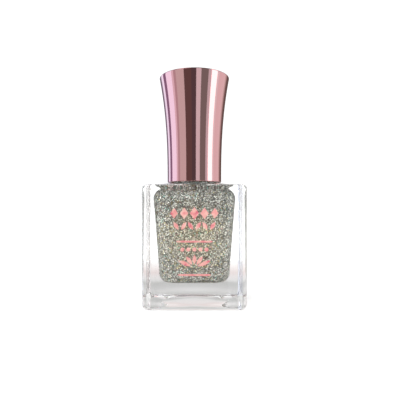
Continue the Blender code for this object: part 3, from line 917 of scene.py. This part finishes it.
def build_stem():
    """The brush's stem: flange, fillet, taper and the socket that grips the bristles."""
    top = STEM_HIGH[2]
    underside = top - FLANGE_THICKNESS
    tip = STEM_LOW[2]
    flange = STEM_HIGH[0]
    edge = 0.2 * MM
    fillet = 0.4 * MM
    tip_edge = 0.25 * MM
    chamfer = 0.1 * MM
    profile = [(0.0, top), (flange / 2, top)]
    profile += arc((flange - edge, top - edge), edge, 90, 0, 4)
    profile += arc((flange - edge, underside + edge), edge, 0, -90, 4)
    profile += arc((STEM_TOP_RADIUS + fillet, underside - fillet), fillet, 90, 180, 6)
    profile += arc((STEM_TIP_RADIUS - tip_edge, tip + tip_edge), tip_edge, 0, -90, 6)
    profile += [(SOCKET_RADIUS + chamfer, tip), (SOCKET_RADIUS, tip + chamfer)]
    profile += [(SOCKET_RADIUS, tip + SOCKET_DEPTH), (0.0, tip + SOCKET_DEPTH)]
    frosted = plastic_material("stem_plastic", grey(0.8), 0.35)
    add_piece("stem", turned("stem", profile), frosted, "cap", ["brush_stem"])


def tuft_roots(chance):
    """Root places packed over the socket's mouth in rings."""
    outermost = 1.12 * MM
    spacing = 0.135 * MM
    rings = 8
    roots = []
    for ring in range(rings + 1):
        radius = outermost * ring / rings
        count = max(1, round(TAU * radius / spacing))
        for step in range(count):
            angle = TAU * (step + chance.random() * 0.6) / count
            roots.append((radius * math.cos(angle), radius * math.sin(angle)))
    return roots


def filament_level(x, y, z, radius):
    """A six-sided section of one filament."""
    return [(x + px, y + py, pz) for px, py, pz in plain_level(radius, z, 6)]


def build_bristles():
    """Separate filaments that are held in the socket, spread from its mouth and end in a rounded tip."""
    chance = random.Random("bristles")
    mouth = STEM_LOW[2]
    length = mouth - TUFT_LOW[2]
    held = mouth + 3.0 * MM
    packed = 1.15 * MM
    fill = 0.92  # of the CAD tuft's half widths, for the filaments' middles
    widening = fill * TUFT_HIGH[0] / packed - 1
    thickening = fill * TUFT_HIGH[1] / packed - 1
    steps = 9
    tapers = [1.0] * (steps - 1) + [0.8, 0.35]
    shape = bmesh.new()
    for x, y in tuft_roots(chance):
        # Outer filaments end sooner, which rounds the tip
        off = math.hypot(x, y) / packed
        end = 1.0 - 0.16 * off**2.2 - 0.03 * chance.random()
        sway = (chance.gauss(0, 0.06) * MM, chance.gauss(0, 0.05) * MM)
        thick = chance.uniform(0.040, 0.055) * MM
        levels = [filament_level(x, y, held, thick)]
        for step, taper in enumerate(tapers):
            share = step / steps * end
            spread = share**0.8
            here_x = x * (1 + widening * spread) + sway[0] * share * share
            here_y = y * (1 + thickening * spread) + sway[1] * share * share
            levels.append(filament_level(here_x, here_y, mouth - length * share, thick * taper))
        skin(shape, levels)
    mesh = finish_mesh("bristles", shape, sharp=60)
    add_piece("bristles", mesh, bristle_material(), "cap", ["bristle_tuft"])


def paint_anchor():
    """The anchor that holds the bristles in the stem keeps its CAD shape."""
    repaint("brush_anchor", metal_material("anchor_brass", (0.74, 0.58, 0.28), 0.3))


# ---------------------------------------------------------------- studio


# Curved cards round the bottle: first and last angle in degrees from the camera's side towards +X, colour
CARD_DISTANCE = 0.45
CARD_STEP = 3
CARD_LOW = -0.5
CARD_HIGH = 0.5
CARDS = (
    (-180, -142, (0.22, 0.20, 0.27)),
    (-142, -136, (0.70, 0.80, 0.98)),
    (-136, -122, (1.26, 1.50, 1.83)),
    (-122, -106, (0.32, 0.24, 0.41)),
    (-106, -79, (1.31, 1.48, 1.80)),
    (-79, -71, (0.98, 0.93, 1.05)),
    (-71, -62, (0.62, 0.52, 0.57)),
    (-62, -34, (0.76, 0.76, 0.76)),
    (-34, -10, (0.155, 0.11, 0.105)),
    (-10, 6, (0.115, 0.095, 0.105)),
    (6, 22, (0.85, 0.92, 0.97)),
    (22, 46, (0.25, 0.26, 0.25)),
    (46, 57, (0.76, 0.81, 0.86)),
    (57, 79, (2.4, 2.4, 2.4)),
    (79, 87, (1.00, 1.10, 1.13)),
    (87, 120, (0.98, 0.92, 0.95)),
    (120, 127, (0.76, 0.72, 0.70)),
    (127, 134, (0.44, 0.36, 0.35)),
    (134, 180, (0.17, 0.13, 0.12)),
)


def emission(name, colour):
    """A material that only glows."""
    material = bpy.data.materials.new(name)
    material.use_nodes = True
    tree = material.node_tree
    tree.nodes.clear()
    glow = tree.nodes.new("ShaderNodeEmission")
    glow.inputs["Color"].default_value = (*colour, 1.0)
    output = tree.nodes.new("ShaderNodeOutputMaterial")
    tree.links.new(glow.outputs["Emission"], output.inputs["Surface"])
    return material


def add_card(name, start, end, colour):
    """A curved studio card that only reflections see."""
    shape = bmesh.new()
    steps = max(2, round((end - start) / CARD_STEP))
    pairs = []
    for step in range(steps + 1):
        angle = math.radians(start + (end - start) * step / steps)
        x = CARD_DISTANCE * math.sin(angle)
        y = -CARD_DISTANCE * math.cos(angle)
        pairs.append((shape.verts.new((x, y, CARD_LOW)), shape.verts.new((x, y, CARD_HIGH))))
    for (a, b), (c, d) in zip(pairs, pairs[1:]):
        shape.faces.new((a, c, d, b))
    place_card(name, shape, emission(name, colour))


def add_overhead(name, low_y, high_y, colour):
    """A flat overhead card, for the cap's top and the shoulder."""
    shape = bmesh.new()
    end = OVERHEAD_HALF_LENGTH
    corners = ((-end, low_y), (end, low_y), (end, high_y), (-end, high_y))
    shape.faces.new([shape.verts.new((x, y, OVERHEAD_HEIGHT)) for x, y in corners])
    place_card(name, shape, emission(name, colour))


def place_card(name, shape, material):
    """A studio object that only reflections see."""
    mesh = bpy.data.meshes.new(name)
    shape.to_mesh(mesh)
    shape.free()
    card = bpy.data.objects.new(name, mesh)
    mesh.materials.append(material)
    bpy.context.scene.collection.objects.link(card)
    card.visible_camera = False
    card.visible_diffuse = False
    card.visible_transmission = False
    card.visible_shadow = False
    return card


# Flat cards over the bottle: first and last y, colour
OVERHEAD_HEIGHT = 0.55
OVERHEAD_HALF_LENGTH = 0.6
OVERHEAD = (
    (-0.60, -0.26, (0.16, 0.13, 0.13)),
    (-0.26, -0.08, (0.20, 0.17, 0.18)),
    (-0.08, 0.07, (0.40, 0.37, 0.38)),
    (0.07, 0.20, (0.60, 0.56, 0.58)),
    (0.20, 0.60, (0.72, 0.70, 0.72)),
)

# The low ring: share of its height, colour
RING_RADIUS = 24 * MM
RING_HEIGHT = 11 * MM
RING_SHADES = (
    (0.0, (0.80, 0.79, 0.79)),
    (0.04, (0.72, 0.71, 0.71)),
    (0.10, (0.64, 0.63, 0.63)),
    (0.22, (0.575, 0.57, 0.565)),
    (0.28, (0.58, 0.575, 0.57)),
    (0.38, (0.78, 0.76, 0.76)),
    (0.50, (0.84, 0.79, 0.79)),
    (0.62, (0.84, 0.74, 0.73)),
    (0.78, (0.98, 0.91, 0.90)),
    (1.0, (1.12, 1.12, 1.12)),
)


def add_low_ring():
    """A low ring that only light through the glass sees, so that the bottle's thick base reads."""
    shape = bmesh.new()
    skin(shape, [round_level(RING_RADIUS, 0.0), round_level(RING_RADIUS, RING_HEIGHT)], caps=False)
    glow = Paint("low_ring", grey(0.0), 1.0, Emission_Strength=1.0, Specular_IOR_Level=0.0)
    shade = glow.ramp(glow.height(0.0, RING_HEIGHT), "Result", RING_SHADES)
    glow.join(shade, "Color", glow.shader, "Emission Color")
    ring = place_card("low_ring", shape, glow.material)
    ring.visible_glossy = False
    ring.visible_transmission = True


WORLD_STRENGTH = 1.12
FLOOR_SIZE = 3.0
FLOOR_DROP = 0.05 * MM  # below the bottle's base, so that the two don't share a plane
FLOOR_GLOW = 0.2  # keeps the bottle's shadow pale
LAMP_PLACE = (-0.25, -0.25, 0.45)
LAMP_TURN = (math.radians(38), 0.0, math.radians(-45))
LAMP_SIZE = 0.3
LAMP_POWER = 1.2


def build_world():
    world = bpy.data.worlds.new("studio")
    world.use_nodes = True
    background = world.node_tree.nodes["Background"]
    background.inputs["Color"].default_value = (1.0, 1.0, 1.0, 1.0)
    background.inputs["Strength"].default_value = WORLD_STRENGTH
    bpy.context.scene.world = world
    bpy.context.scene.view_settings.view_transform = "Standard"


def build_floor():
    mesh = bpy.data.meshes.new("floor")
    shape = bmesh.new()
    bmesh.ops.create_grid(shape, x_segments=1, y_segments=1, size=FLOOR_SIZE)
    shape.to_mesh(mesh)
    shape.free()
    floor = bpy.data.objects.new("floor", mesh)
    floor.location.z = -FLOOR_DROP
    bpy.context.scene.collection.objects.link(floor)
    white = (1.0, 1.0, 1.0, 1.0)
    pale = Paint("floor", grey(0.96), 0.9, Emission_Color=white, Emission_Strength=FLOOR_GLOW)
    mesh.materials.append(pale.material)
    floor.visible_glossy = False


def build_lamp():
    """A soft lamp from the upper left."""
    light = bpy.data.lights.new("key", "AREA")
    light.energy = LAMP_POWER
    light.size = LAMP_SIZE
    lamp = bpy.data.objects.new("key", light)
    lamp.location = LAMP_PLACE
    lamp.rotation_euler = LAMP_TURN
    bpy.context.scene.collection.objects.link(lamp)


def build_studio():
    build_world()
    build_floor()
    for start, end, colour in CARDS:
        add_card(f"card_{len(bpy.data.objects)}", start, end, colour)
    add_low_ring()
    for low_y, high_y, colour in OVERHEAD:
        add_overhead(f"overhead_{len(bpy.data.objects)}", low_y, high_y, colour)
    build_lamp()
    # Light crosses many glass surfaces before it leaves the bottle
    cycles = bpy.context.scene.cycles
    cycles.max_bounces = 24
    cycles.glossy_bounces = 16
    cycles.transmission_bounces = 24


EYE_HEIGHT = 31.1 * MM
EYE_DISTANCE = 128.7 * MM
SENSOR_WIDTH = 36.0  # millimetres, as Blender counts a sensor and a lens
LENS = 35.1
SHIFT_RIGHT = 0.014  # shares of the picture's width
SHIFT_UP = 0.010


def build_camera():
    """A near camera a little below the object's middle, looking level."""
    data = bpy.data.cameras.new("camera")
    data.sensor_width = SENSOR_WIDTH
    data.lens = LENS
    data.shift_x = SHIFT_RIGHT
    data.shift_y = SHIFT_UP
    data.clip_start = 0.01
    data.clip_end = 20.0
    camera = bpy.data.objects.new("camera", data)
    camera.location = (0.0, -EYE_DISTANCE, EYE_HEIGHT)
    camera.rotation_euler = (math.pi / 2, 0.0, 0.0)
    bpy.context.scene.collection.objects.link(camera)
    bpy.context.scene.camera = camera


build_camera()
build_studio()
build_glass()
build_polish()
build_flakes()
build_balls()
build_label()
paint_foil()
build_shell()
build_disc()
build_inner_cap()
build_liner()
build_stem()
build_bristles()
paint_anchor()
